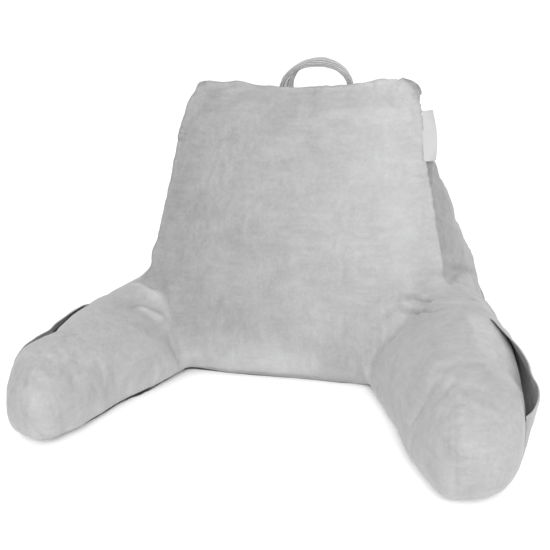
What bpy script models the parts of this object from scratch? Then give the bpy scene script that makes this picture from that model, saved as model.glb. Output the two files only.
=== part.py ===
"""A reading pillow: a filled back wedge between two filled arms.

A strap handle is sewn into its top seam, an open pocket onto the outer side of
each arm, and a small label into the front panel's right seam.

Metres. +X is to the right of someone facing the pillow, -Y points at them and
+Z is up. The origin is on the floor under the back's foot.
"""

from collections import namedtuple
import math

import bmesh
import bpy
from mathutils import Vector

# Driving dimensions, in metres and degrees
BACK_HEIGHT = 0.420
FLOOR_SINK = 0.010  # how much of each cushion's underside the floor presses flat
TOP_SAG = 0.024  # of the top edge, between its two corners
SIDE_LEAN = -0.017  # of the top against the foot: the filling has settled to one side
FRONT_CROWN = 0.025
REAR_CROWN = 0.020
SIDE_CROWN = 0.008

ARM_ROOT_Y = -0.128  # where the arms' inner sides leave the front panel
ARM_BURIED = 0.160  # how far an arm's section table starts behind that line

STRAP_WIDTH = 0.022
STRAP_THICKNESS = 0.004
STRAP_LEFT_X = -0.041
STRAP_RIGHT_X = 0.052
STRAP_Y = 0.088
STRAP_FOOT_Z = 0.376
STRAP_RISE = 0.048
STRAP_ARCH_POWER = 0.75  # 1 is a plain half sine, and less is a flatter crest
# The way across the strap at its left foot, its crest and its right foot
STRAP_ACROSS = (Vector((0.85, 0.52, 0)), Vector((0.1, 0.92, 0.36)), Vector((-0.3, 0.95, 0)))

POCKET_THICKNESS = 0.002
POCKET_STANDOFF = 0.0026  # from the arm to the middle of the pocket's sheet
POCKET_GAPE = 0.0185  # how far the mouth stands away from the arm
GAPE_SHIFT_POWER = 1.7  # above 1 moves the widest place from the middle to the tip
GAPE_RISE_POWER = 1.6  # above 1 keeps the gape near the mouth

LABEL_TOP = Vector((0.157, 0.046, 0.3605))
LABEL_FOOT = Vector((0.166, 0.013, 0.2955))
LABEL_REACH = 0.021  # from inside the seam to its free edge
LABEL_THICKNESS = 0.0012
LABEL_CURL = 0.010  # how far the free edge's two ends lie behind its middle

SEWN_GAP = 0.0004  # left between a piece and the cushion that it is sewn to
CAGE_CUTS = 13  # cuts along each edge of the cube that a cushion is shaped from
POCKET_GRID = (18, 9)  # faces along each sheet and across it
STRAP_GRID = (40, 3)
LABEL_GRID = (6, 5)

# Rounding of the cushions: the exponent of a superellipse, where 2 is an ellipse
# and a large number is a sharp corner.
BACK_PLAN_POWER = 8
BACK_RISE_POWER = 9
ARM_SECTION_POWER = 2.7
ARM_END_POWER = 4.0

# The back from foot (0) to top (1): half width of its front and rear panels,
# and where each panel stands.
BackRow = namedtuple("BackRow", "at front_half rear_half front_y rear_y")
BACK_ROWS = (
    BackRow(at=0.0, front_half=0.278, rear_half=0.292, front_y=-0.133, rear_y=0.160),
    BackRow(at=0.5, front_half=0.214, rear_half=0.207, front_y=-0.032, rear_y=0.132),
    BackRow(at=1.0, front_half=0.182, rear_half=0.128, front_y=0.070, rear_y=0.104),
)

# An arm from its buried root (0) to its tip (1): its inner and outer sides,
# measured outwards from the line that its inner side follows, its height, and
# how far the inner side slopes outwards on its way up.
ArmRow = namedtuple("ArmRow", "at inner outer height slope")
ARM_ROWS = (
    ArmRow(at=0.00, inner=0.000, outer=0.235, height=0.147, slope=0.085),
    ArmRow(at=0.35, inner=0.000, outer=0.214, height=0.147, slope=0.085),
    ArmRow(at=0.55, inner=0.005, outer=0.192, height=0.155, slope=0.062),
    ArmRow(at=0.80, inner=0.017, outer=0.161, height=0.149, slope=0.033),
    ArmRow(at=1.00, inner=0.009, outer=0.135, height=0.143, slope=0.015),
)
ROOT_ENDS = 0.55  # where the extra filling at an arm's root runs out

# The two arms are cut alike, but filled and set down a little differently.
Arm = namedtuple("Arm", "side x splay reach plump root_lift pocket_gape")
ARMS = {
    "left": Arm(
        side=-1, x=0.130, splay=21.4, reach=0.271, plump=0.860, root_lift=0.021, pocket_gape=0.7
    ),
    "right": Arm(
        side=1, x=0.079, splay=23.1, reach=0.308, plump=0.990, root_lift=0.0, pocket_gape=1.0
    ),
}

# A pocket's two ends along its arm (-1 is the root, 1 the tip), and how far
# round the arm its foot and its mouth lie: 0 is the outermost line, 90 the top.
PocketEnd = namedtuple("PocketEnd", "along foot_angle mouth_angle")
POCKET_REAR = PocketEnd(along=0.10, foot_angle=-30, mouth_angle=58)
POCKET_FRONT = PocketEnd(along=0.86, foot_angle=-30, mouth_angle=22)


def row_at(rows, place):
    """The values of a section table at one place, on a smooth curve through its rows."""
    last = len(rows) - 1
    low = max(i for i in range(last) if rows[i].at <= max(place, rows[0].at))

    def slope(i, column):
        before, after = rows[max(i - 1, 0)], rows[min(i + 1, last)]
        return (after[column] - before[column]) / (after.at - before.at)

    start, end = rows[low], rows[low + 1]
    span = end.at - start.at
    s = min(max((place - start.at) / span, 0), 1)
    return [
        (2 * s**3 - 3 * s**2 + 1) * start[column]
        + (s**3 - 2 * s**2 + s) * span * slope(low, column)
        + (3 * s**2 - 2 * s**3) * end[column]
        + (s**3 - s**2) * span * slope(low + 1, column)
        for column in range(1, len(start))
    ]


def rounded(a, b, c, pair_power, whole_power):
    """A cube's surface point drawn in to a superellipsoid, where a and b are the pair."""
    pair = (abs(a) ** pair_power + abs(b) ** pair_power) ** (whole_power / pair_power)
    size = (pair + abs(c) ** whole_power) ** (1 / whole_power)
    return a / size, b / size, c / size


def back_point(across, depth, up):
    """The back's surface over a cube's: left to right, front to rear, foot to top."""
    across, depth, up = rounded(across, depth, up, BACK_PLAN_POWER, BACK_RISE_POWER)
    share = (up + 1) / 2
    front_half, rear_half, front_y, rear_y = row_at(BACK_ROWS, share)
    rearward = (depth + 1) / 2
    bulge = 1 - up**2
    crown = FRONT_CROWN if depth < 0 else REAR_CROWN
    x = across * (front_half * (1 - rearward) + rear_half * rearward)
    x += across * SIDE_CROWN * (1 - depth**2) * bulge + SIDE_LEAN * share
    y = front_y * (1 - rearward) + rear_y * rearward
    y += depth * crown * (1 - across**2) * bulge
    z = BACK_HEIGHT * share - FLOOR_SINK
    z -= TOP_SAG * (1 - across**2) * max(up, 0) ** 4
    return Vector((x, y, max(z, 0)))


def arm_point(arm, across, along, up):
    """An arm's surface over a cube's: inner to outer, root to tip, floor to top."""
    across, up, along = rounded(across, up, along, ARM_SECTION_POWER, ARM_END_POWER)
    share = (along + 1) / 2
    inner, outer, height, slope = row_at(ARM_ROWS, share)
    inner += slope * (up + 1) / 2
    height += arm.root_lift * max(1 - share / ROOT_ENDS, 0)
    forward = -ARM_BURIED + (arm.reach + ARM_BURIED) * share
    outward = arm.plump * ((inner + outer) / 2 + across * (outer - inner) / 2)
    splay = math.radians(arm.splay)
    x = arm.x + math.sin(splay) * forward + math.cos(splay) * outward
    y = ARM_ROOT_Y - math.cos(splay) * forward + math.sin(splay) * outward
    z = arm.plump * height * (up + 1) / 2 - FLOOR_SINK
    return Vector((arm.side * x, y, max(z, 0)))


def arm_side(arm, along, angle):
    """A point on the arm's side and the way out from it, by the angle round the arm."""
    step = 0.01

    def point(along, angle):
        return arm_point(arm, math.cos(angle), along, math.sin(angle))

    ahead = point(along + step, angle) - point(along - step, angle)
    round_it = point(along, angle + step) - point(along, angle - step)
    return point(along, angle), arm.side * round_it.cross(ahead).normalized()


def pocket_point(arm, along_share, mouth_share):
    """The pocket's sheet, from its rear seam to its front one and from foot to mouth."""
    rear, front = POCKET_REAR, POCKET_FRONT
    along = rear.along + (front.along - rear.along) * along_share
    foot = rear.foot_angle + (front.foot_angle - rear.foot_angle) * along_share
    mouth = rear.mouth_angle + (front.mouth_angle - rear.mouth_angle) * along_share
    angle = math.radians(foot + (mouth - foot) * mouth_share)
    surface, outward = arm_side(arm, along, angle)
    gape = POCKET_GAPE * arm.pocket_gape * math.sin(math.pi * along_share**GAPE_SHIFT_POWER)
    return surface + outward * (POCKET_STANDOFF + gape * mouth_share**GAPE_RISE_POWER)


def strap_point(along_share, width_share):
    """The strap's middle sheet: a low arch that turns from facing front to edge on."""
    turn = math.pi * along_share
    half_span = (STRAP_RIGHT_X - STRAP_LEFT_X) / 2
    middle_x = (STRAP_RIGHT_X + STRAP_LEFT_X) / 2
    middle = Vector((middle_x - half_span * math.cos(turn), STRAP_Y, STRAP_FOOT_Z))
    middle.z += STRAP_RISE * math.sin(turn) ** STRAP_ARCH_POWER
    left, crest, right = STRAP_ACROSS
    if along_share < 0.5:
        across = left.lerp(crest, along_share / 0.5)
    else:
        across = crest.lerp(right, along_share / 0.5 - 1)
    return middle + across.normalized() * STRAP_WIDTH * (width_share - 0.5)


def label_point(along_share, reach_share):
    """The label, from the seam outwards: its two ends lie back more than its middle."""
    seam = LABEL_TOP.lerp(LABEL_FOOT, along_share)
    curl = LABEL_CURL * (1 - math.sin(math.pi * along_share)) * reach_share**2
    return seam + Vector((LABEL_REACH * reach_share - curl / 2, curl, 0))


def material(name, colour, roughness):
    made = bpy.data.materials.new(name)
    made.use_nodes = True
    shader = made.node_tree.nodes["Principled BSDF"]
    shader.inputs["Base Color"].default_value = (*colour, 1)
    shader.inputs["Roughness"].default_value = roughness
    shader.inputs["Metallic"].default_value = 0
    return made


def placed(name, shape, collection, surface):
    """Turns a bmesh into a smooth-shaded object with its material."""
    bmesh.ops.recalc_face_normals(shape, faces=shape.faces)
    mesh = bpy.data.meshes.new(name)
    shape.to_mesh(mesh)
    shape.free()
    mesh.shade_smooth()
    mesh.materials.append(surface)
    made = bpy.data.objects.new(name, mesh)
    collection.objects.link(made)
    return made


def cushion(name, point, collection, surface):
    """A filled piece: a finely cut cube with each vertex moved to the piece's surface."""
    shape = bmesh.new()
    bmesh.ops.create_cube(shape, size=2)
    bmesh.ops.subdivide_edges(shape, edges=shape.edges, cuts=CAGE_CUTS, use_grid_fill=True)
    for vertex in shape.verts:
        vertex.co = point(*vertex.co)
    bmesh.ops.triangulate(shape, faces=shape.faces)
    return placed(name, shape, collection, surface)


def sheet(name, point, grid, thickness, collection, surface):
    """A cloth piece: a flat grid laid along its middle surface, then given its thickness."""
    columns, rows = grid
    shape = bmesh.new()
    bmesh.ops.create_grid(shape, x_segments=columns, y_segments=rows, size=0.5)
    for vertex in shape.verts:
        vertex.co = point(vertex.co.x + 0.5, vertex.co.y + 0.5)
    made = placed(name, shape, collection, surface)
    solidify = made.modifiers.new("thickness", "SOLIDIFY")
    solidify.thickness = thickness
    solidify.offset = 0
    solidify.use_even_offset = True
    return made


def cut_away(piece, cutter):
    cut = piece.modifiers.new("clear of the back", "BOOLEAN")
    cut.operation = "DIFFERENCE"
    cut.solver = "EXACT"
    cut.object = cutter


def new_collection(name):
    made = bpy.data.collections.new(name)
    bpy.context.scene.collection.children.link(made)
    return made


def main():
    for leftover in list(bpy.data.objects):
        bpy.data.objects.remove(leftover)

    pillow = new_collection("reading pillow with arms")
    cutters = new_collection("cutters")
    velour = material("velour", (0.60, 0.60, 0.61), 0.9)
    strap_cloth = material("strap cloth", (0.55, 0.55, 0.56), 0.9)
    ribbon = material("ribbon", (0.85, 0.85, 0.85), 0.7)

    cushion("back_cushion", back_point, pillow, velour)

    back_cutter = cushion("back_cutter", back_point, cutters, velour)
    grown = back_cutter.modifiers.new("sewn gap", "DISPLACE")
    grown.strength = SEWN_GAP
    grown.mid_level = 0
    back_cutter.hide_render = True
    back_cutter.display_type = "WIRE"

    for name, arm in ARMS.items():
        body = cushion(
            f"arm_{name}",
            lambda across, along, up, arm=arm: arm_point(arm, across, along, up),
            pillow,
            velour,
        )
        cut_away(body, back_cutter)
        sheet(
            f"pocket_{name}",
            lambda along, mouth, arm=arm: pocket_point(arm, along, mouth),
            POCKET_GRID,
            POCKET_THICKNESS,
            pillow,
            velour,
        )

    strap = sheet("carry_handle", strap_point, STRAP_GRID, STRAP_THICKNESS, pillow, strap_cloth)
    cut_away(strap, back_cutter)
    label = sheet("side_label", label_point, LABEL_GRID, LABEL_THICKNESS, pillow, ribbon)
    cut_away(label, back_cutter)


main()
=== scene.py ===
# A reading pillow: a velour cover over loose filling, with two arms, a gathered
# handle in the top seam, a pocket on each arm and a small label in the right seam.
import heapq
import math
import bmesh
import bpy
import numpy as np
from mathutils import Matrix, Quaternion, Vector, noise
from mathutils.bvhtree import BVHTree


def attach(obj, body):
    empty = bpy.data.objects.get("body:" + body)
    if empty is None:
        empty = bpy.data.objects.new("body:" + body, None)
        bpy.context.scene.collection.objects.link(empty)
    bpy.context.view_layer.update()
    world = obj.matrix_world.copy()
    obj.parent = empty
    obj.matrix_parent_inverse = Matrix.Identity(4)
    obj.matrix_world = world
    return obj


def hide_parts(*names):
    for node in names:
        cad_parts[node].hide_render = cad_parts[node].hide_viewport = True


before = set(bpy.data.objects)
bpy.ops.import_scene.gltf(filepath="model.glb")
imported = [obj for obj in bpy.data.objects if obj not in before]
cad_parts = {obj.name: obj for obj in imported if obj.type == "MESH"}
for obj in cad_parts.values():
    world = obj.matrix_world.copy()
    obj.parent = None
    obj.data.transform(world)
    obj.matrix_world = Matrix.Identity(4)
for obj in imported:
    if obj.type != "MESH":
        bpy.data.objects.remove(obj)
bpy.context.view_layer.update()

scene = bpy.context.scene


# Camera, light and floor

studio = dict(
    azimuth=15.12, elevation=20.47, roll=-2.17,  # degrees, as in the photograph
    distance=1.2953, target=(-0.0525, 0, 0.1176), lens=55.64,
    sky=1.02, keyPlace=(0.75, -2.8, 2.0), keySize=1.5, keyPower=73,
    floorGrey=0.95, floorGlow=0.07, floorHalf=40, floorRoughness=0.9, floorShine=0.1,
)
white = (1, 1, 1, 1)


def makeStudio():
    around, above, roll = (math.radians(studio[k]) for k in ("azimuth", "elevation", "roll"))
    level = math.cos(above)
    towards = Vector((math.sin(around) * level, -math.cos(around) * level, math.sin(above)))
    camera = bpy.data.objects.new("camera", bpy.data.cameras.new("camera"))
    camera.data.lens = studio["lens"]
    camera.location = Vector(studio["target"]) + towards * studio["distance"]
    turn = towards.to_track_quat("Z", "Y") @ Quaternion((0, 0, 1), roll)
    camera.rotation_euler = turn.to_euler()
    scene.collection.objects.link(camera)
    scene.camera = camera

    world = bpy.data.worlds.new("studio")
    world.use_nodes = True
    sky = world.node_tree.nodes["Background"].inputs
    sky["Color"].default_value = white
    sky["Strength"].default_value = studio["sky"]
    scene.world = world

    lamp = bpy.data.lights.new("key", "AREA")
    lamp.shape = "DISK"
    lamp.size = studio["keySize"]
    lamp.energy = studio["keyPower"]
    key = bpy.data.objects.new("key", lamp)
    key.location = studio["keyPlace"]
    key.rotation_euler = Vector(studio["keyPlace"]).to_track_quat("Z", "Y").to_euler()
    scene.collection.objects.link(key)

    shape = bmesh.new()
    bmesh.ops.create_grid(shape, x_segments=1, y_segments=1, size=studio["floorHalf"])
    floor = addPiece("floor", shape)
    plain = Graph("floor")
    plain.finish({
        "Base Color": (studio["floorGrey"],) * 3 + (1,),
        "Emission Color": white, "Emission Strength": studio["floorGlow"],
        "Roughness": studio["floorRoughness"], "Specular IOR Level": studio["floorShine"],
    })
    floor.data.materials.append(plain.material)
    scene.view_settings.view_transform = "Standard"
    print("studio: camera, sky, lamp and floor")


# Materials: sums on sockets are written as Python sums

class Link:
    def __init__(self, graph, socket):
        self.graph, self.socket = graph, socket

    def maths(self, operation, a, b):
        return self.graph.node("Math", {"operation": operation}, {0: a, 1: b})

    def __add__(self, other):
        return self.maths("ADD", self, other)

    def __sub__(self, other):
        return self.maths("SUBTRACT", self, other)

    def __rsub__(self, other):
        return self.maths("SUBTRACT", other, self)

    def __mul__(self, other):
        return self.maths("MULTIPLY", self, other)

    __radd__ = __add__
    __rmul__ = __mul__


class Graph:
    def __init__(self, name):
        self.material = bpy.data.materials.new(name)
        self.material.use_nodes = True
        self.tree = self.material.node_tree
        self.shader = self.tree.nodes["Principled BSDF"]

    def feed(self, socket, value):
        if isinstance(value, Link):
            self.tree.links.new(value.socket, socket)
        else:
            socket.default_value = value

    def node(self, kind, settings=None, values=None, out=0):
        made = self.tree.nodes.new("ShaderNode" + kind)
        for name, value in (settings or {}).items():
            setattr(made, name, value)
        for name, value in (values or {}).items():
            self.feed(made.inputs[name], value)
        return Link(self, made.outputs[out])

    def finish(self, values):
        for name, value in values.items():
            self.feed(self.shader.inputs[name], value)

    def stretched(self, place, scale):
        return self.node("Mapping", {}, {"Vector": place, "Scale": scale})

    def cloud(self, place, scale, detail, roughness):
        values = {"Vector": place, "Scale": scale, "Detail": detail, "Roughness": roughness}
        return self.node("TexNoise", {}, values, "Fac")

    def blend(self, factor, a, b):
        # 6 and 7 are the Mix node's two colours, and 2 the one it gives
        return self.node("Mix", {"data_type": "RGBA"}, {"Factor": factor, 6: a, 7: b}, 2)


velourLook = dict(
    deep=(0.192, 0.192, 0.195, 1), pale=(0.474, 0.474, 0.479, 1),  # the darkest and the palest pile; the mesh's tone, painted light and shade with it, blends between them
    # each cloud's scale, detail and roughness, and how much of it shows
    patches=(24, 4, 0.6), patchShare=0.34, grain=(210, 2, 0.7), grainShare=0.26,
    strokes=(112, 3, 0.65), strokeShare=0.46, upright=(1, 1, 0.20), level=(0.24, 0.24, 1),
    areas=(13, 3, 0.6), areaContrast=5.0, areaShift=-2.0,  # where strokes run up, and where across
    fibre=(1300, 2, 0.7), fibreShare=0.4, tufts=(240, 3, 0.6), tuftShare=0.6,
    bumpDepth=0.0007, bumpStrength=0.4,
    roughness=0.95, shine=0.15, sheen=0.20, sheenRoughness=0.45,
)


def velour(name, look):
    g = Graph(name)
    place = g.node("TexCoord", out="Object")
    # the mesh's tone: the pile's direction with painted light and shade laid in
    napAndLightTone = g.node("Attribute", {"attribute_name": "napAndPaintedLight"}, out="Fac")
    patches = g.cloud(place, *look["patches"]) - 0.5
    grain = g.cloud(place, *look["grain"]) - 0.5
    upright = g.cloud(g.stretched(place, look["upright"]), *look["strokes"]) - 0.5
    level = g.cloud(g.stretched(place, look["level"]), *look["strokes"]) - 0.5
    areas = {0: g.cloud(place, *look["areas"]), 1: look["areaContrast"], 2: look["areaShift"]}
    up = g.node("Math", {"operation": "MULTIPLY_ADD", "use_clamp": True}, areas)
    strokes = upright * up + level * (1 - up)
    tone = napAndLightTone + patches * look["patchShare"] + strokes * look["strokeShare"]
    tone = tone + grain * look["grainShare"]
    fibre, tufts = g.cloud(place, *look["fibre"]), g.cloud(place, *look["tufts"])
    height = fibre * look["fibreShare"] + tufts * look["tuftShare"]
    bump = {"Height": height, "Strength": look["bumpStrength"], "Distance": look["bumpDepth"]}
    g.finish({
        "Base Color": g.blend(tone, look["deep"], look["pale"]), "Normal": g.node("Bump", {}, bump),
        "Roughness": look["roughness"], "Specular IOR Level": look["shine"],
        "Sheen Weight": look["sheen"], "Sheen Roughness": look["sheenRoughness"],
    })
    return g.material


ribbonLook = dict(
    dark=(0.34, 0.34, 0.34, 1), light=(0.42, 0.42, 0.42, 1),
    threads=(1700, 2, 0.5), warp=(1, 1, 0.05), weft=(0.05, 0.05, 1),
    bumpDepth=0.0002, roughness=0.6,
)


def ribbon(name, look):
    g = Graph(name)
    place = g.node("TexCoord", out="Object")
    warp = g.cloud(g.stretched(place, look["warp"]), *look["threads"])
    weft = g.cloud(g.stretched(place, look["weft"]), *look["threads"])
    weave = warp * 0.5 + weft * 0.5
    bump = {"Height": weave, "Distance": look["bumpDepth"]}
    g.finish({
        "Base Color": g.blend(weave, look["dark"], look["light"]),
        "Normal": g.node("Bump", {}, bump), "Roughness": look["roughness"],
    })
    return g.material


# Mesh helpers

def addPiece(name, shape):
    mesh = bpy.data.meshes.new(name)
    shape.to_mesh(mesh)
    shape.free()
    mesh.shade_smooth()
    piece = bpy.data.objects.new(name, mesh)
    scene.collection.objects.link(piece)
    return piece


def unitGrid(faces):
    # a grid one metre square, whose points then move to a sheet's real shape
    shape = bmesh.new()
    bmesh.ops.create_grid(shape, x_segments=faces[0], y_segments=faces[1], size=0.5)
    return shape


def vectors(items, name):
    flat = np.empty(len(items) * 3, np.float32)
    items.foreach_get(name, flat)
    return flat.reshape(-1, 3).astype(float)


def meshPoints(piece):
    return vectors(piece.data.vertices, "co")


def meshNormals(piece):
    return vectors(piece.data.vertex_normals, "vector")


def moveMesh(piece, places):
    piece.data.vertices.foreach_set("co", places.astype(np.float32).ravel())
    piece.data.update()


def pointTones(piece, name):
    # a number for each point, kept on the mesh under a name
    found = np.zeros(len(piece.data.vertices), np.float32)
    if name in piece.data.attributes:
        piece.data.attributes[name].data.foreach_get("value", found)
    return found


def setPointTones(piece, name, tones):
    kept = piece.data.attributes
    layer = kept[name] if name in kept else kept.new(name, "FLOAT", "POINT")
    tones = np.broadcast_to(tones, len(piece.data.vertices))
    layer.data.foreach_set("value", tones.astype(np.float32))


def smoothed(piece, times, chosen=None):
    shape = bmesh.new()
    shape.from_mesh(piece.data)
    shape.verts.ensure_lookup_table()
    verts = shape.verts if chosen is None else [shape.verts[i] for i in chosen]
    for _ in range(times):
        bmesh.ops.smooth_vert(shape, verts=verts, factor=0.5,
                              use_axis_x=True, use_axis_y=True, use_axis_z=True)
    shape.to_mesh(piece.data)
    shape.free()


def surfaceTree(piece):
    mesh = piece.data
    return BVHTree.FromPolygons(
        [tuple(v.co) for v in mesh.vertices], [tuple(p.vertices) for p in mesh.polygons]
    )


def refine(piece):
    finer = piece.modifiers.new("finer", "SUBSURF")
    finer.levels = finer.render_levels = 1
    applyModifiers(piece)


def applyModifiers(piece):
    graph = bpy.context.evaluated_depsgraph_get()
    made = bpy.data.meshes.new_from_object(piece.evaluated_get(graph))
    piece.modifiers.clear()
    old, piece.data = piece.data, made
    bpy.data.meshes.remove(old)
    made.shade_smooth()


def smoothStep(number):
    number = np.clip(number, 0, 1)
    return number * number * (3 - 2 * number)


def past(number, edge):
    # 0 before an edge and 1 past it; an edge is where it starts and how wide it is,
    # and one with a width below zero is passed downwards
    start, width = edge
    return smoothStep((number - start) / width)


# Forms: a finely cut cube, with each point moved to the piece's surface

def between(rows, place, column):
    # a table's column at some places, on a smooth curve through its rows
    table = np.array(rows)
    at, value = table[:, 0], table[:, column]
    steep = np.gradient(value, at)
    low = np.clip(np.searchsorted(at, place, "right") - 1, 0, len(at) - 2)
    span = at[low + 1] - at[low]
    s = np.clip((place - at[low]) / span, 0, 1)
    rest = (s**3 - 2 * s**2 + s) * steep[low] + (s**3 - s**2) * steep[low + 1]
    return value[low] + (3 * s**2 - 2 * s**3) * (value[low + 1] - value[low]) + rest * span


back = dict(
    height=0.424, sink=0.010, lean=-0.017,  # the floor flattens what would sink below it
    sag=0.024, sagPower=4, topDrop=0.021, dropPower=8,  # of the top edge's middle, and of its rear
    footTuck=0.014, tuckPower=10,  # how far the front panel turns under at the floor
    frontCrown=0.028, rearCrown=0.014, crownPower=4, sideCrown=0.007,
    outline=(5.6, 9.5),  # left and right: 2 is an ellipse, more is a squarer corner
    cuts=40,
)
# Share of the height, the front panel's left and right half widths and its edge's
# depth, and the rear panel's half width and depth
backRows = [
    (0.00, 0.255, 0.248, -0.125, 0.292, 0.160),
    (0.35, 0.2230, 0.2127, -0.0575, 0.230, 0.140),
    (0.52, 0.2100, 0.1972, -0.0237, 0.204, 0.131),
    (0.65, 0.1985, 0.1862, 0.0010, 0.182, 0.124),
    (0.80, 0.1900, 0.1765, 0.0305, 0.158, 0.115),
    (1.00, 0.1830, 0.1745, 0.0690, 0.120, 0.104),
]


def backForm(cube):
    across, depth, up = cube.T
    reach = np.maximum(abs(across), abs(up))
    outline = np.where((across < 0) & (up > 0), *back["outline"])
    size = (abs(across) ** outline + abs(up) ** outline) ** (1 / outline)
    drawn = reach / np.maximum(size, 1e-6)
    across, up = across * drawn, up * drawn
    share, rear = (up + 1) / 2, (depth + 1) / 2
    leftHalf, rightHalf, frontY, rearHalf, rearY = (between(backRows, share, k) for k in range(1, 6))
    frontHalf = np.where(across < 0, leftHalf, rightHalf)
    crown = np.where(depth < 0, back["frontCrown"], back["rearCrown"]) * depth
    crown = crown * (1 - across ** back["crownPower"]) * (1 - up ** back["crownPower"])
    above, below = np.maximum(up, 0), np.maximum(-up, 0)
    x = across * (frontHalf * (1 - rear) + rearHalf * rear) + back["lean"] * share
    x += across * back["sideCrown"] * (1 - depth**2) * (1 - up**2)
    y = frontY * (1 - rear) + rearY * rear + crown
    y += back["footTuck"] * below ** back["tuckPower"] * (1 - rear)
    z = back["height"] * share - back["sink"]
    z -= back["sag"] * (1 - across**2) * above ** back["sagPower"]
    z -= back["topDrop"] * rear * above ** back["dropPower"]
    return np.stack([x, y, np.maximum(z, 0)], 1)


armShape = dict(rootY=-0.128, buried=0.160, sink=0.010, section=2.7, end=4.0, rootEnds=0.55, cuts=30)
# Share of the length, inner and outer side, height, and the inner side's slope
armRows = [
    (0.00, 0.000, 0.235, 0.147, 0.085),
    (0.35, 0.000, 0.214, 0.147, 0.085),
    (0.55, 0.005, 0.192, 0.155, 0.062),
    (0.80, 0.017, 0.161, 0.149, 0.033),
    (1.00, 0.009, 0.135, 0.143, 0.015),
]
arms = dict(
    left=dict(side=-1, x=0.130, splay=21.4, reach=0.271, plump=0.860, rootLift=0.021),
    right=dict(side=1, x=0.079, splay=23.1, reach=0.308, plump=0.990, rootLift=0.0),
)


def armForm(cube, side, x, splay, reach, plump, rootLift):
    across, along, up = cube.T
    pair = abs(across) ** armShape["section"] + abs(up) ** armShape["section"]
    whole = pair ** (armShape["end"] / armShape["section"]) + abs(along) ** armShape["end"]
    size = whole ** (1 / armShape["end"])
    across, along, up = across / size, along / size, up / size
    share = (along + 1) / 2
    inner, outer, height, slope = (between(armRows, share, k) for k in range(1, 5))
    inner = inner + slope * (up + 1) / 2
    height = height + rootLift * np.maximum(1 - share / armShape["rootEnds"], 0)
    forward = (reach + armShape["buried"]) * share - armShape["buried"]
    outward = plump * ((inner + outer) / 2 + across * (outer - inner) / 2)
    turn = math.radians(splay)
    sideways = x + math.sin(turn) * forward + math.cos(turn) * outward
    y = armShape["rootY"] - math.cos(turn) * forward + math.sin(turn) * outward
    z = plump * height * (up + 1) / 2 - armShape["sink"]
    return np.stack([side * sideways, y, np.maximum(z, 0)], 1)


def formed(form, cuts):
    shape = bmesh.new()
    bmesh.ops.create_cube(shape, size=2)
    bmesh.ops.subdivide_edges(shape, edges=shape.edges, cuts=cuts, use_grid_fill=True)
    places = form(np.array([tuple(vertex.co) for vertex in shape.verts]))
    for vertex, place in zip(shape.verts, places):
        vertex.co = place
    bmesh.ops.recalc_face_normals(shape, faces=shape.faces)
    return shape


# Sewn lines and folds are pressed into a finished surface along a line of points, with painted shade
# in their grooves

def measured(line):
    # the length along a line at each of its points
    return np.concatenate([[0], np.cumsum(np.linalg.norm(np.diff(line, axis=0), axis=1))])


def spotsOn(line, lengths, spots):
    return np.stack([np.interp(spots, lengths, line[:, i]) for i in range(3)], 1)


def relaxed(line, times):
    # draws each point towards the middle of its neighbours
    for _ in range(times):
        line[1:-1] = (line[:-2] + 2 * line[1:-1] + line[2:]) / 4
    return line


def even(places, step=0.002):
    # the same line with evenly spaced points, its corners rounded a little
    places = np.array(places, float)
    lengths = measured(places)
    spots = np.linspace(0, lengths[-1], max(int(lengths[-1] / step), 8))
    line = spotsOn(places, lengths, spots)
    return relaxed(line, len(line) // 12)


def nearestOn(line, places):
    # the distance from each place to a line, and the number of the line's nearest point
    gap, index = np.empty(len(places)), np.empty(len(places), int)
    chunk = 4000  # keeps the table of distances small
    for start in range(0, len(places), chunk):
        apart = np.linalg.norm(places[start:start + chunk, None] - line[None], axis=2)
        index[start:start + chunk] = apart.argmin(1)
        gap[start:start + chunk] = apart.min(1)
    return gap, index


def boxed(places, line, margin):
    # the numbers of the places in a line's box
    inside = (places > line.min(0) - margin) & (places < line.max(0) + margin)
    return np.where(inside.all(1))[0]


def snapped(line, tree):
    return np.array([tuple(tree.find_nearest(Vector(place))[0]) for place in line])


thread = dict(
    # how far a run of edges may leave its line: further only where the nearer band has a break
    bands=(0.009, 0.014, 0.021, 0.032),
    stray=0.003,  # how far off its line doubles what an edge costs
    relax=12, beside=0.0062, besidePasses=2,  # how it and the mesh beside it are evened out
)


def cheapestRun(links, first, last):
    # the points of the cheapest way from one point to another along the mesh's edges,
    # or None where the links don't join them
    best, came, queue = {first: 0.0}, {}, [(0.0, first)]
    while queue:
        total, here = heapq.heappop(queue)
        if here == last:
            break
        for cost, there in links[here]:
            if total + cost < best.get(there, math.inf):
                best[there], came[there] = total + cost, here
                heapq.heappush(queue, (total + cost, there))
    if last not in best:
        return None
    run = [last]
    while run[-1] != first:
        run.append(came[run[-1]])
    return np.array(run[::-1])


def runInBand(pairs, places, away, line, band):
    # the cheapest run of edges in a band around a line, from end to end
    links = {}
    for a, b in pairs[(away[pairs] < band).all(1)].tolist():
        stray = (away[a] + away[b]) / thread["stray"]
        cost = math.dist(places[a], places[b]) * (1 + stray**2)
        links.setdefault(a, []).append((cost, b))
        links.setdefault(b, []).append((cost, a))
    known = np.array(sorted(links))
    first, last = known[nearestOn(places[known], line[[0, -1]])[1]].tolist()
    return cheapestRun(links, first, last)


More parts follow.
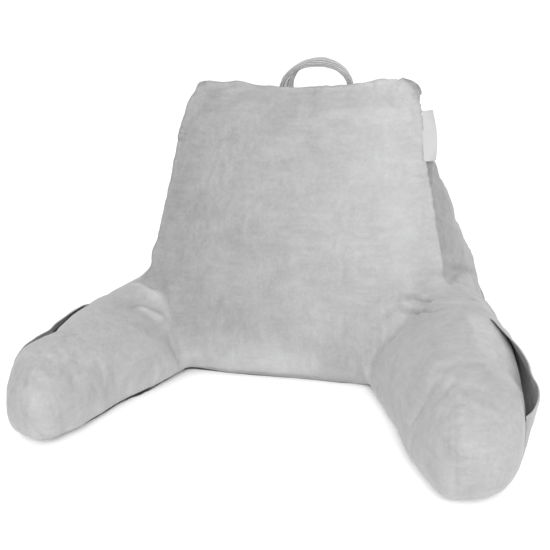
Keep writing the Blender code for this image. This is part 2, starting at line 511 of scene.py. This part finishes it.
def threadEdge(piece, line, fade=0.03):
    # draws one run of the mesh's edges onto a line, so that the line is clean
    places, lengths = meshPoints(piece), measured(line)
    box = boxed(places, line, thread["bands"][-1])
    gap, index = nearestOn(line, places[box])
    away, spot = np.full(len(places), np.inf), np.zeros(len(places))
    away[box], spot[box] = gap, lengths[index]
    pairs = np.empty(len(piece.data.edges) * 2, np.int32)
    piece.data.edges.foreach_get("vertices", pairs)
    pairs = pairs.reshape(-1, 2)
    for band in thread["bands"]:
        run = runInBand(pairs, places, away, line, band)
        if run is not None:
            break
        print("no unbroken run of edges within", band, "m of a line")
    if run is None:
        return
    spots = relaxed(spot[run], thread["relax"])
    share = smoothStep(np.minimum(spots, lengths[-1] - spots) / (lengths[-1] * fade))[:, None]
    places[run] = places[run] * (1 - share) + spotsOn(line, lengths, spots) * share
    moveMesh(piece, places)
    beside = np.setdiff1d(np.where(away < thread["beside"])[0], run)
    smoothed(piece, thread["besidePasses"], beside)


press = dict(
    # how strongly and how fast each of these varies along a line, and its own seed
    uneven=(0.3, 40, 0), pitchDrift=(0.9, 25, 50), puckerDrift=(1.2, 18, 90),
    shoulder=2.4, shoulderWidth=1.2,  # where the cloth rises beside a groove, in groove widths
    gain=1.8, seedStep=7.3, row=1.7,  # brings the noise to about -1 to 1, and sets lines apart in it
    spread=5,  # how far off a groove or pucker is felt, in its own widths
    crispFade=0.15, shade=130,  # painted shade per metre of a groove's depth, painted light for a ridge
)


def varied(along, kind, seed):
    # slow uneven noise along a line
    strength, pace, shift = press[kind]
    column = (seed + shift) * press["seedStep"]
    found = [noise.noise(Vector((spot, column, press["row"]))) for spot in along * pace]
    return strength * press["gain"] * np.array(found)


def pressLine(piece, tree, seed, points, depth=0.0, width=0.004, rise=0.0,
              pucker=0.0, pitch=0.02, reach=0.016, fade=0.2, crisp=False):
    # depth below zero raises a ridge
    trail = snapped(even(points), tree)
    if crisp:
        threadEdge(piece, trail, press["crispFade"])
    places, outward = meshPoints(piece), meshNormals(piece)
    chosen = boxed(places, trail, press["spread"] * max(width, reach if pucker else 0))
    gap, index = nearestOn(trail, places[chosen])
    lengths = measured(trail)
    along, length = lengths[index], lengths[-1]
    ends = np.clip(np.minimum(along, length - along) / (length * fade + 1e-6), 0, 1)
    uneven = (1 + varied(along, "uneven", seed)) * ends
    groove = np.exp(-((gap / width) ** 2)) * uneven
    # a groove gets painted shade and a ridge painted light, in proportion to its depth
    shade = pointTones(piece, "paintedFoldShading")
    shade[chosen] += press["shade"] * depth * groove
    setPointTones(piece, "paintedFoldShading", shade)
    beside = (gap / width - press["shoulder"]) / press["shoulderWidth"]
    move = rise * np.exp(-(beside**2)) * uneven - depth * groove
    if pucker:
        phase = along / pitch + varied(along, "pitchDrift", seed)
        strength = gap / reach * np.exp(1 - gap / reach)
        strength *= np.clip(1 + varied(along, "puckerDrift", seed), 0, 2)
        move += pucker * np.sin(2 * math.pi * phase) * strength * ends
    places[chosen] += outward[chosen] * move[:, None]
    moveMesh(piece, places)


def pull(piece, at, radius, move):
    places = meshPoints(piece)
    gap = np.linalg.norm(places - np.array(at), axis=1) / radius
    share = np.clip(1 - gap**2, 0, 1) ** 2
    moveMesh(piece, places + share[:, None] * np.array(move))


# The cover: back and arms in one skin, blown up against its seams

cover = dict(
    cell=0.0068, evenPasses=2,
    fillet=0.026, filletPasses=34,  # softens the line where an arm meets the back
    filletFoot=0.022,  # height below which that line stays sharp
    slack=0.0015,  # the cover starts this much inside its finished place
    pinStep=0.004, pinReach=0.006, footHeight=0.003,  # seams and the cloth on the floor stay put
    pressure=4.0, quality=4, frames=18, mostMove=0.0045,
    spare=0.030,  # spare cloth, which wrinkles along the seams
    lump=0.0020, lumpSize=0.085, lumpDetail=(0.9, 2.0, 3),  # of the loose filling
    edgePoints=40, edgeNoise=(22, 60),  # slow and quick wander of a panel's edge
)


def panelEdge(depth, low, sway):
    # the edge of the front (-1) or rear (1) panel, from low on the left to low on the right
    side = np.linspace(low, 1, cover["edgePoints"])
    top = np.linspace(-1, 1, cover["edgePoints"])
    one = np.ones(cover["edgePoints"])
    runs = ((-one, side), (top, one), (one, side[::-1]))
    cube = np.concatenate([np.stack([across, depth * one, up], 1) for across, up in runs])
    line = even(backForm(cube))
    slow, quick = cover["edgeNoise"]
    spots = [Vector(spot) for spot in line]
    wander = [noise.noise_vector(p * slow) + noise.noise_vector(p * quick) * 0.5 for p in spots]
    return line + np.array([tuple(w) for w in wander]) * sway


outerSeam = [(0.2357, -0.1655, 0.1436), (0.2446, -0.2058, 0.1428), (0.2530, -0.2415, 0.1400),
             (0.2630, -0.2706, 0.1367), (0.2734, -0.2855, 0.1324)]
rightTip = [(0.2319, -0.3231, 0.1229), (0.2358, -0.3496, 0.1155), (0.2389, -0.3755, 0.1004),
            (0.2406, -0.3884, 0.0722), (0.2431, -0.3881, 0.0354), (0.2440, -0.3840, 0.0100)]
earSeam = [(0.1100, 0.0700, 0.4020), (0.1220, 0.0640, 0.4010), (0.1340, 0.0580, 0.3960),
           (0.1450, 0.0500, 0.3860), (0.1530, 0.0440, 0.3730), (0.1570, 0.0400, 0.3620)]
leftTip = [(-0.2790, -0.3230, 0.1100), (-0.2843, -0.3388, 0.0975), (-0.2766, -0.3571, 0.0801),
           (-0.2782, -0.3607, 0.0513), (-0.2661, -0.3610, 0.0303), (-0.2529, -0.3460, 0.0100)]
frontEdge, rearEdge = panelEdge(-1, -0.28, 0.0022), panelEdge(1, -0.86, 0.0020)
seams = [
    dict(points=frontEdge, depth=-0.0008, width=0.0030,
         pucker=0.0011, pitch=0.019, reach=0.006, fade=0.03),
    dict(points=rearEdge, pucker=0.0012, pitch=0.023, reach=0.007, fade=0.03),
    dict(points=rightTip, depth=0.0012, width=0.0030, rise=0.0005,
         pucker=0.0007, pitch=0.017, reach=0.006, crisp=True),
    dict(points=leftTip, depth=0.0018, width=0.0030, rise=0.0006,
         pucker=0.0007, pitch=0.017, reach=0.006, crisp=True),
]
folds = [
    dict(points=outerSeam, depth=-0.0010, width=0.0034, rise=-0.0006, crisp=True),
    dict(points=earSeam, depth=0.0018, width=0.0032, rise=0.0008,
         pucker=0.0008, pitch=0.012, reach=0.006, crisp=True),
    # two creases across the right arm's root with a roll between them, and a short one below
    dict(points=[(0.1387, -0.0859, 0.1269), (0.1670, -0.0831, 0.1276), (0.2017, -0.1015, 0.1366),
                 (0.2342, -0.1012, 0.1386), (0.2560, -0.0793, 0.1298)],
         depth=0.0042, width=0.0032, rise=0.0010, fade=0.24, crisp=True),
    dict(points=[(0.1364, -0.0893, 0.1207), (0.1758, -0.1052, 0.1291), (0.2162, -0.1275, 0.1410),
                 (0.2515, -0.1152, 0.1376)],
         depth=-0.0016, width=0.0040),
    dict(points=[(0.1291, -0.0955, 0.1101), (0.1455, -0.0956, 0.1135), (0.1653, -0.1043, 0.1178),
                 (0.1920, -0.1438, 0.1355), (0.2214, -0.1520, 0.1431)],
         depth=0.0032, width=0.0032, rise=0.0010, fade=0.3, crisp=True),
    dict(points=[(0.1216, -0.1003, 0.1026), (0.1311, -0.0994, 0.1044), (0.1425, -0.1042, 0.1080)],
         depth=0.0009, width=0.0036, rise=0.0005),
    # the right arm's tip seam runs on into a faint curved roll
    dict(points=[(0.1925, -0.2770, 0.0962), (0.2045, -0.2877, 0.1094), (0.2139, -0.2953, 0.1168),
                 (0.2247, -0.3092, 0.1212), (0.2322, -0.3266, 0.1211)],
         depth=-0.0007, width=0.0050),
    # the left arm's crease against the back, and the folds that run out from it
    dict(points=[(-0.2173, -0.0529, 0.1548), (-0.2113, -0.0630, 0.1413), (-0.1968, -0.0850, 0.1171),
                 (-0.1848, -0.1046, 0.0957), (-0.1729, -0.1214, 0.0689), (-0.1619, -0.1314, 0.0442),
                 (-0.1560, -0.1307, 0.0251)],
         depth=0.0014, width=0.0040, rise=0.0003, crisp=True),
    dict(points=[(-0.2269, -0.1521, 0.1140), (-0.2267, -0.1345, 0.1145), (-0.2215, -0.1252, 0.1134),
                 (-0.2089, -0.1194, 0.1080), (-0.1957, -0.1158, 0.0995), (-0.1838, -0.1123, 0.0911)],
         depth=0.0018, width=0.0036, crisp=True),
    dict(points=[(-0.2235, -0.1351, 0.1134), (-0.2128, -0.1320, 0.1098), (-0.2013, -0.1312, 0.1056),
                 (-0.1911, -0.1274, 0.0985), (-0.1826, -0.1201, 0.0882)],
         depth=-0.0034, width=0.0050),
    dict(points=[(-0.2684, -0.0814, 0.1192), (-0.2610, -0.0684, 0.1211), (-0.2460, -0.0723, 0.1235),
                 (-0.2272, -0.0832, 0.1224), (-0.2080, -0.0924, 0.1177)],
         depth=0.0026, width=0.0036, crisp=True),
    dict(points=[(-0.2586, -0.0812, 0.1213), (-0.2365, -0.0880, 0.1205), (-0.2146, -0.0959, 0.1170),
                 (-0.1955, -0.1025, 0.1083)],
         depth=-0.0026, width=0.0050),
    # the right gusset: a fold against the arm and a slanting wrinkle above it
    dict(points=[(0.2044, -0.0313, 0.1562), (0.2169, 0.0009, 0.1422), (0.2296, 0.0512, 0.1215),
                 (0.2391, 0.0961, 0.1023)],
         depth=0.0030, width=0.0045, rise=0.0010, crisp=True),
    dict(points=[(0.1935, -0.0002, 0.2121), (0.2020, 0.0266, 0.1982), (0.2125, 0.0859, 0.1741)],
         depth=-0.0020, width=0.0045, rise=-0.0008),
]
pulls = [
    dict(at=(-0.167, 0.062, 0.402), radius=0.026, move=(-0.007, 0, 0.005)),
    dict(at=(-0.112, 0.062, 0.402), radius=0.024, move=(0, 0, 0.004)),
    dict(at=(0.152, 0.066, 0.386), radius=0.032, move=(0.004, 0, 0.002)),
    dict(at=(-0.298, -0.290, 0.105), radius=0.060, move=(-0.002, 0, 0.008)),
    dict(at=(-0.285, -0.200, 0.115), radius=0.075, move=(0, 0, -0.002)),
    dict(at=(-0.232, -0.055, 0.150), radius=0.045, move=(-0.005, 0, 0.004)),
    dict(at=(0.181, -0.296, 0.020), radius=0.070, move=(-0.008, -0.002, 0)),
    dict(at=(0.226, -0.374, 0.012), radius=0.045, move=(-0.001, -0.003, 0)),
    dict(at=(0.268, 0.135, 0.062), radius=0.065, move=(-0.010, 0, 0)),
    dict(at=(-0.250, -0.130, 0.122), radius=0.070, move=(0, 0, -0.006)),
    dict(at=(-0.300, -0.350, 0.020), radius=0.060, move=(-0.006, 0, -0.002)),
    dict(at=(-0.200, -0.230, 0.020), radius=0.080, move=(-0.004, 0.008, 0)),
]


underside = dict(
    tuck=(0.020, 0.007), tuckHeight=0.019,  # on the left and the right, and how high it begins
    middle=(-0.16, 0.05), rear=(0.08, -0.08),  # the edge between the two, and where the tuck ends
    softness=0.3,  # less tuck where the cloth faces down
)


def flattenFoot(piece, tuck=(0, 0)):
    # the tuck draws the lowest cloth in under the cushion
    places, outward = meshPoints(piece), meshNormals(piece)
    x, y, z = places.T
    amount = np.clip(1 - z / underside["tuckHeight"], 0, 1) ** 2
    amount *= tuck[0] + (tuck[1] - tuck[0]) * past(x, underside["middle"])
    amount *= past(y, underside["rear"])
    level = outward * [1, 1, 0]
    level /= np.maximum(np.linalg.norm(level, axis=1), underside["softness"])[:, None]
    places -= level * amount[:, None]
    places[:, 2] = np.maximum(places[:, 2], 0)
    moveMesh(piece, places)


def nearness(piece, trees):
    # distance from each point of the piece to each of the forms it was joined from
    return np.array([[tree.find_nearest(Vector(p))[3] for p in meshPoints(piece)] for tree in trees])


def joinedForms():
    # the back and both arms in one skin, and the surface of each
    shape = formed(backForm, back["cuts"])
    trees = [BVHTree.FromBMesh(shape)]
    joined = bpy.data.meshes.new("arm")
    for arm in arms.values():
        limb = formed(lambda cube: armForm(cube, **arm), armShape["cuts"])
        trees.append(BVHTree.FromBMesh(limb))
        limb.to_mesh(joined)
        limb.free()
        shape.from_mesh(joined)
    bpy.data.meshes.remove(joined)
    piece = addPiece("pillow_cover", shape)
    remesh = piece.modifiers.new("even faces", "REMESH")
    remesh.mode = "VOXEL"
    remesh.voxel_size = cover["cell"]
    applyModifiers(piece)
    smoothed(piece, cover["evenPasses"])
    apart = nearness(piece, trees)
    meeting = np.maximum(apart[0], apart[1:].min(0)) < cover["fillet"]
    meeting &= meshPoints(piece)[:, 2] > cover["filletFoot"]
    smoothed(piece, cover["filletPasses"], np.where(meeting)[0])
    flattenFoot(piece)
    print("forms joined:", len(piece.data.polygons), "faces")
    return piece, trees


def blowUp(piece):
    home, outward = meshPoints(piece), meshNormals(piece)
    onFloor = home[:, 2] < cover["footHeight"]
    small = home - outward * np.where(onFloor, 0, cover["slack"])[:, None]
    held = onFloor.copy()
    for line in seams:
        held |= nearestOn(even(line["points"], cover["pinStep"]), home)[0] < cover["pinReach"]
    moveMesh(piece, np.where(held[:, None], home, small))
    pinned = piece.vertex_groups.new(name="pinned")
    pinned.add([int(i) for i in np.where(held)[0]], 1, "REPLACE")
    cloth = piece.modifiers.new("filling", "CLOTH")
    cloth.settings.quality = cover["quality"]
    cloth.settings.use_pressure = True
    cloth.settings.uniform_pressure_force = cover["pressure"]
    cloth.settings.effector_weights.gravity = 0
    cloth.settings.vertex_group_mass = "pinned"
    cloth.settings.shrink_min = -cover["spare"]
    cloth.point_cache.frame_start = 1
    cloth.point_cache.frame_end = cover["frames"]
    for number in range(1, cover["frames"] + 1):
        scene.frame_set(number)
    applyModifiers(piece)
    scene.frame_set(1)
    moved = meshPoints(piece) - home
    size = np.linalg.norm(moved, axis=1)
    print("blown up by", round(float(np.median(size)) * 1000, 1), "mm")
    moved *= (np.minimum(size, cover["mostMove"]) / np.maximum(size, 1e-9))[:, None]
    moveMesh(piece, home + moved)
    piece.vertex_groups.clear()


def makeCover():
    piece, trees = joinedForms()
    blowUp(piece)
    refine(piece)
    places, outward = meshPoints(piece), meshNormals(piece)
    size, detail = cover["lumpSize"], cover["lumpDetail"]
    lump = np.array([noise.fractal(Vector(place) / size, *detail) for place in places])
    moveMesh(piece, places + outward * (cover["lump"] * lump)[:, None])
    threadEdge(piece, frontEdge)
    threadEdge(piece, rearEdge)
    tree = surfaceTree(piece)
    for number, line in enumerate(seams + folds):
        pressLine(piece, tree, number, **line)
    for tug in pulls:
        pull(piece, **tug)
    flattenFoot(piece, underside["tuck"])
    paintNapAndLight(piece, trees)
    print("cover:", len(piece.data.polygons), "faces")
    return piece


# Painted light and shade on each panel, laid over the pile's direction, as a tone from -1 to 1

napAndPaintedLight = dict(
    # the front panel: paler from left to right as a painted key light, darker towards its right edge
    # and low on the right, a painted highlight along its top and painted floor bounce light at its
    # left foot
    left=-0.52, right=0.42, rightEdge=-0.22, top=0.26, foot=-0.10, leftFootBounceLight=0.64,
    halfWidth=0.2, turning=1.7,  # the front panel turns from left to right over this
    # the right side panel: painted shade where it turns from the light, laid with its pile's
    # direction, lighter towards the floor; painted shade in its fold against the arm
    gusset=-0.74, gussetFoot=-0.35, gussetTop=0.30, gussetDrop=0.18, gussetFoldShade=0.45,
    rear=-0.20, ear=-0.60, earReach=0.05,
    # the arms: painted light on the right arm's outer strip, which faces the lamp, each arm darker
    # beyond its tip seam, and painted floor bounce light at their feet
    rightArm=0.00, outerStripLight=0.40, rightOfTip=-0.08, leftArm=0.02, leftOfTip=-0.22,
    armFootBounceLight=0.34, armBlend=0.014, armShift=(0.5, -0.1),  # right and left
    contactShadow=((-0.290, 0), (-0.255, 2), (-0.150, 2), (-0.120, 0.7), (0.010, 0)),  # painted contact shadow along the front foot: x, and how dark
)
napAndLightEdges = dict(  # where each starts and how wide it is, along the number it is used with
    behind=(0.001, 0.004), underEar=(0.385, -0.012), rearPanel=(-0.004, 0.008),
    rightSide=(0.80, 0.12), top=(0.37, 0.03), low=(0.19, -0.08), lowRight=(-0.06, 0.12),
    foot=(0.085, -0.065), footLeft=(0.05, -0.08),
    litStrip=(0, 0.006), stripFoot=(0.075, 0.04), stripRear=(-0.15, -0.02), stripFront=(-0.32, 0.12),
    tip=(-0.31, -0.03), tipRight=(0.238, 0.006), tipLeft=(-0.276, -0.006), armFootBounceLight=(0.050, -0.045),
    ear=(0, 0.004), contactShadowSide=(-0.96, 0.2), contactShadowTop=(0.0045, -0.004), contactShadowRear=(-0.02, -0.05),
)


def beyond(places, line):
    # how far level places lie to the left of a line, seen from above
    index = nearestOn(line, places)[1]
    ahead = np.gradient(line, axis=0)[index]
    ahead /= np.linalg.norm(ahead, axis=1)[:, None] + 1e-9
    apart = places - line[index]
    return ahead[:, 0] * apart[:, 1] - ahead[:, 1] * apart[:, 0]


def frontTone(x, z, share):
    # painted light: paler to the right, a painted highlight along the top and painted floor bounce
    # light at the left foot
    sideways = (x - back["lean"] * share) / napAndPaintedLight["halfWidth"]
    turned = np.clip(sideways / 2 + 0.5, 0, 1) ** napAndPaintedLight["turning"]
    tone = napAndPaintedLight["left"] + (napAndPaintedLight["right"] - napAndPaintedLight["left"]) * turned
    tone += napAndPaintedLight["rightEdge"] * past(sideways, napAndLightEdges["rightSide"])
    low = past(z, napAndLightEdges["low"]) * past(x, napAndLightEdges["lowRight"])
    tone = tone * (1 - low) + napAndPaintedLight["foot"] * low + napAndPaintedLight["top"] * past(z, napAndLightEdges["top"])
    return tone + napAndPaintedLight["leftFootBounceLight"] * past(z, napAndLightEdges["foot"]) * past(x, napAndLightEdges["footLeft"])


def armTone(places):
    x, y, z = places.T
    # painted light on the strip beyond the outer seam, which faces the lamp, and painted floor bounce
    # light at the foot
    litStrip = past(beyond(places, even(outerSeam)), napAndLightEdges["litStrip"]) * past(z, napAndLightEdges["stripFoot"])
    litStrip *= past(y, napAndLightEdges["stripRear"]) * past(y, napAndLightEdges["stripFront"])
    tip = past(y, napAndLightEdges["tip"])
    right = napAndPaintedLight["rightArm"] + napAndPaintedLight["outerStripLight"] * litStrip
    right += napAndPaintedLight["rightOfTip"] * past(x, napAndLightEdges["tipRight"]) * tip
    left = napAndPaintedLight["leftArm"] + napAndPaintedLight["leftOfTip"] * past(x, napAndLightEdges["tipLeft"]) * tip
    return np.where(x > 0, right, left) + napAndPaintedLight["armFootBounceLight"] * past(z, napAndLightEdges["armFootBounceLight"])


def paintNapAndLight(piece, trees):
    places = meshPoints(piece)
    x, y, z = places.T
    apart = nearness(piece, trees)
    shift = np.where(x > 0, *napAndPaintedLight["armShift"])
    onArm = smoothStep((apart[0] - apart[1:].min(0)) / napAndPaintedLight["armBlend"] + shift)
    share = (z + back["sink"]) / back["height"]
    behind = past(y - between(backRows, share, 3), napAndLightEdges["behind"]) * past(z, napAndLightEdges["underEar"])
    drop = np.clip((napAndPaintedLight["gussetTop"] - z) / napAndPaintedLight["gussetDrop"], 0, 1)
    side = napAndPaintedLight["gusset"] + (napAndPaintedLight["gussetFoot"] - napAndPaintedLight["gusset"]) * drop
    rear = past(y - between(backRows, share, 5), napAndLightEdges["rearPanel"])
    # painted shade in the fold where the side panel meets the arm
    foldShade = napAndPaintedLight["gussetFoldShade"] * 4 * onArm * (1 - onArm) * (x > 0)
    side = side * (1 - rear) + napAndPaintedLight["rear"] * rear - foldShade
    ear = even(earSeam)
    nearEar = np.linalg.norm(places - ear.mean(0), axis=1) < napAndPaintedLight["earReach"]
    inEar = past(beyond(places[:, [0, 2, 1]], ear[:, [0, 2, 1]]), napAndLightEdges["ear"]) * nearEar
    front = frontTone(x, z, share) * (1 - inEar) + napAndPaintedLight["ear"] * inEar
    tone = (front * (1 - behind) + side * behind) * (1 - onArm) + armTone(places) * onArm
    # painted contact shadow along the front foot, where the cloth meets the floor
    contactShadow = np.interp(x, *zip(*napAndPaintedLight["contactShadow"])) * past(meshNormals(piece)[:, 2], napAndLightEdges["contactShadowSide"])
    tone -= contactShadow * past(z, napAndLightEdges["contactShadowTop"]) * past(y, napAndLightEdges["contactShadowRear"])
    # painted shade in the pressed grooves and painted light on the ridges go in too
    setPointTones(piece, "napAndPaintedLight", 0.5 + 0.5 * (tone - pointTones(piece, "paintedFoldShading")))
    piece.data.attributes.remove(piece.data.attributes["paintedFoldShading"])


# A pocket on the outer side of each arm

pocket = dict(
    rear=(0.10, -30, 58), front=(0.86, -30, 22),  # place along the arm, foot and mouth angle
    thickness=0.0018, standoff=0.0024, sewn=0.0003, sewnWidth=0.06,  # sewn at its foot and ends
    gape=0.0174, gapeShift=1.7, gapeRise=1.6, gapes=dict(left=0.45, right=1.0),
    hem=0.13, hemLift=0.0007, hemWidth=0.02, groove=0.0007, grooveWidth=0.014,
    wrinkle=0.0016, wrinklePace=(3, 9, 4.2),
    castFrom=0.03, castReach=0.08,  # it is laid on the cover from this far out
    tone=0.475, faces=(64, 36),
    flat=dict(left=(0.165, 0.090), right=(0.186, 0.100)),
)


def makePocket(name, skin):
    arm, rear, front = arms[name], pocket["rear"], pocket["front"]
    shape = unitGrid(pocket["faces"])
    u, v = np.array([(vertex.co.x + 0.5, vertex.co.y + 0.5) for vertex in shape.verts]).T
    along, foot, mouth = (rear[k] + (front[k] - rear[k]) * u for k in range(3))
    angle = np.radians(foot + (mouth - foot) * v)

    def onArm(along, angle):
        return armForm(np.stack([np.cos(angle), along, np.sin(angle)], 1), **arm)

    step = 0.01
    ahead = onArm(along + step, angle) - onArm(along - step, angle)
    upward = onArm(along, angle + step) - onArm(along, angle - step)
    outward = arm["side"] * np.cross(upward, ahead)
    outward /= np.linalg.norm(outward, axis=1)[:, None]
    inside = np.minimum.reduce([u, 1 - u, v]) / pocket["sewnWidth"]
    lift = pocket["sewn"] + (pocket["standoff"] - pocket["sewn"]) * smoothStep(inside)
    gape = np.sin(math.pi * u ** pocket["gapeShift"]) * v ** pocket["gapeRise"]
    lift += pocket["gape"] * pocket["gapes"][name] * gape
    pastHem = v - 1 + pocket["hem"]
    lift += pocket["hemLift"] * smoothStep(pastHem / pocket["hemWidth"])
    lift -= pocket["groove"] * np.exp(-((pastHem / pocket["grooveWidth"]) ** 2))
    paceU, paceV, seed = pocket["wrinklePace"]
    wrinkles = np.array([noise.noise(Vector((a * paceU, b * paceV, seed))) for a, b in zip(u, v)])
    lift += pocket["wrinkle"] * wrinkles * smoothStep(inside / 2)
    for vertex, base, out, high in zip(shape.verts, onArm(along, angle), outward, lift):
        base, out = Vector(base), Vector(out)
        hit = skin.ray_cast(base + out * pocket["castFrom"], -out, pocket["castReach"])[0]
        vertex.co = (hit or base) + out * high
    if arm["side"] > 0:
        bmesh.ops.reverse_faces(shape, faces=shape.faces)
    piece = addPiece(f"arm_pocket_{name}", shape)
    thick = piece.modifiers.new("thickness", "SOLIDIFY")
    thick.thickness = pocket["thickness"]
    thick.offset = 0
    thick.use_even_offset = True
    refine(piece)
    setPointTones(piece, "napAndPaintedLight", pocket["tone"])
    print("pocket:", name, len(piece.data.polygons), "faces")
    return piece


# The handle: a gathered tube of the same cloth, sewn into the top seam

handle = dict(
    leftX=-0.048, rightX=0.051, y=0.088, footZ=0.376, rise=0.0482, archPower=0.75,
    across=((0.85, 0.52, 0), (0.1, 0.92, 0.36), (-0.3, 0.95, 0)),  # its width at left, crest, right
    halfWidth=0.0108, halfDepth=0.0040, faces=(150, 90), merge=0.00002,
    pleats=13, pleatDepth=0.0009, drift=4.8, driftPace=6,  # the pleats wander along the arch
    # pleatLightAndShade: painted shade in the pleats' grooves and painted light on their crests
    gather=0.0007, gatherPace=16, tone=0.43, pleatLightAndShade=0.38,
)


def makeHandle():
    shape = unitGrid(handle["faces"])
    left, crest, right = (Vector(a) for a in handle["across"])
    middle = (handle["rightX"] + handle["leftX"]) / 2
    half = (handle["rightX"] - handle["leftX"]) / 2

    def arch(t):
        turn = math.pi * min(max(t, 0), 1)
        rise = handle["rise"] * math.sin(turn) ** handle["archPower"]
        return Vector((middle - half * math.cos(turn), handle["y"], handle["footZ"] + rise))

    tones = shape.verts.layers.float.new("napAndPaintedLight")
    for vertex in shape.verts:
        t, turn = vertex.co.x + 0.5, 2 * math.pi * (vertex.co.y + 0.5)
        across = left.lerp(crest, t * 2) if t < 0.5 else crest.lerp(right, t * 2 - 1)
        across.normalize()
        ahead = (arch(t + 0.004) - arch(t - 0.004)).normalized()
        out = ahead.cross(across).normalized()
        c, s = math.cos(turn), math.sin(turn)
        drift = handle["drift"] * noise.noise(Vector((t * handle["driftPace"], c, s)))
        wave = math.sin(handle["pleats"] * turn + drift)
        # painted shade in the pleats' grooves and painted light on their crests
        vertex[tones] = handle["tone"] + handle["pleatLightAndShade"] * wave
        gather = handle["gather"] * noise.noise(Vector((t * handle["gatherPace"], c, s)))
        vertex.co = arch(t) + across * (handle["halfWidth"] * c) + out * (handle["halfDepth"] * s)
        vertex.co += (across * c + out * s).normalized() * (handle["pleatDepth"] * wave + gather)
    bmesh.ops.remove_doubles(shape, verts=shape.verts, dist=handle["merge"])
    bmesh.ops.holes_fill(shape, edges=[e for e in shape.edges if e.is_boundary])
    bmesh.ops.recalc_face_normals(shape, faces=shape.faces)
    piece = addPiece("gathered_handle", shape)
    print("handle:", len(piece.data.polygons), "faces")
    return piece


# The label: a short folded ribbon, bare

label = dict(
    top=(0.157, 0.046, 0.3605), foot=(0.166, 0.013, 0.2955), reach=0.021, curl=0.010,
    thickness=0.0011, bevel=0.0004, bevelSegments=2, faces=(24, 10),
)


def makeLabel():
    shape = unitGrid(label["faces"])
    top, foot = Vector(label["top"]), Vector(label["foot"])
    for vertex in shape.verts:
        along, out = vertex.co.x + 0.5, vertex.co.y + 0.5
        curl = label["curl"] * (1 - math.sin(math.pi * along)) * out**2
        vertex.co = top.lerp(foot, along) + Vector((label["reach"] * out - curl / 2, curl, 0))
    bmesh.ops.recalc_face_normals(shape, faces=shape.faces)
    piece = addPiece("seam_label", shape)
    thick = piece.modifiers.new("thickness", "SOLIDIFY")
    thick.thickness = label["thickness"]
    thick.offset = 0
    bevel = piece.modifiers.new("soft edge", "BEVEL")
    bevel.width = label["bevel"]
    bevel.segments = label["bevelSegments"]
    applyModifiers(piece)
    print("label:", len(piece.data.polygons), "faces")
    return piece


makeStudio()
velourCloth = velour("velour", velourLook)
pillow = makeCover()
pillow.data.materials.append(velourCloth)
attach(pillow, "root")
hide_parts("back_cushion", "arm_left", "arm_right")
skin = surfaceTree(pillow)

for name in arms:
    piece = makePocket(name, skin)
    piece.data.materials.append(velourCloth)
    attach(piece, "root")
    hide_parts("pocket_" + name)

strap = makeHandle()
strap.data.materials.append(velourCloth)
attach(strap, "root")
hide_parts("carry_handle")

tag = makeLabel()
tag.data.materials.append(ribbon("ribbon", ribbonLook))
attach(tag, "root")
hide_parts("side_label")
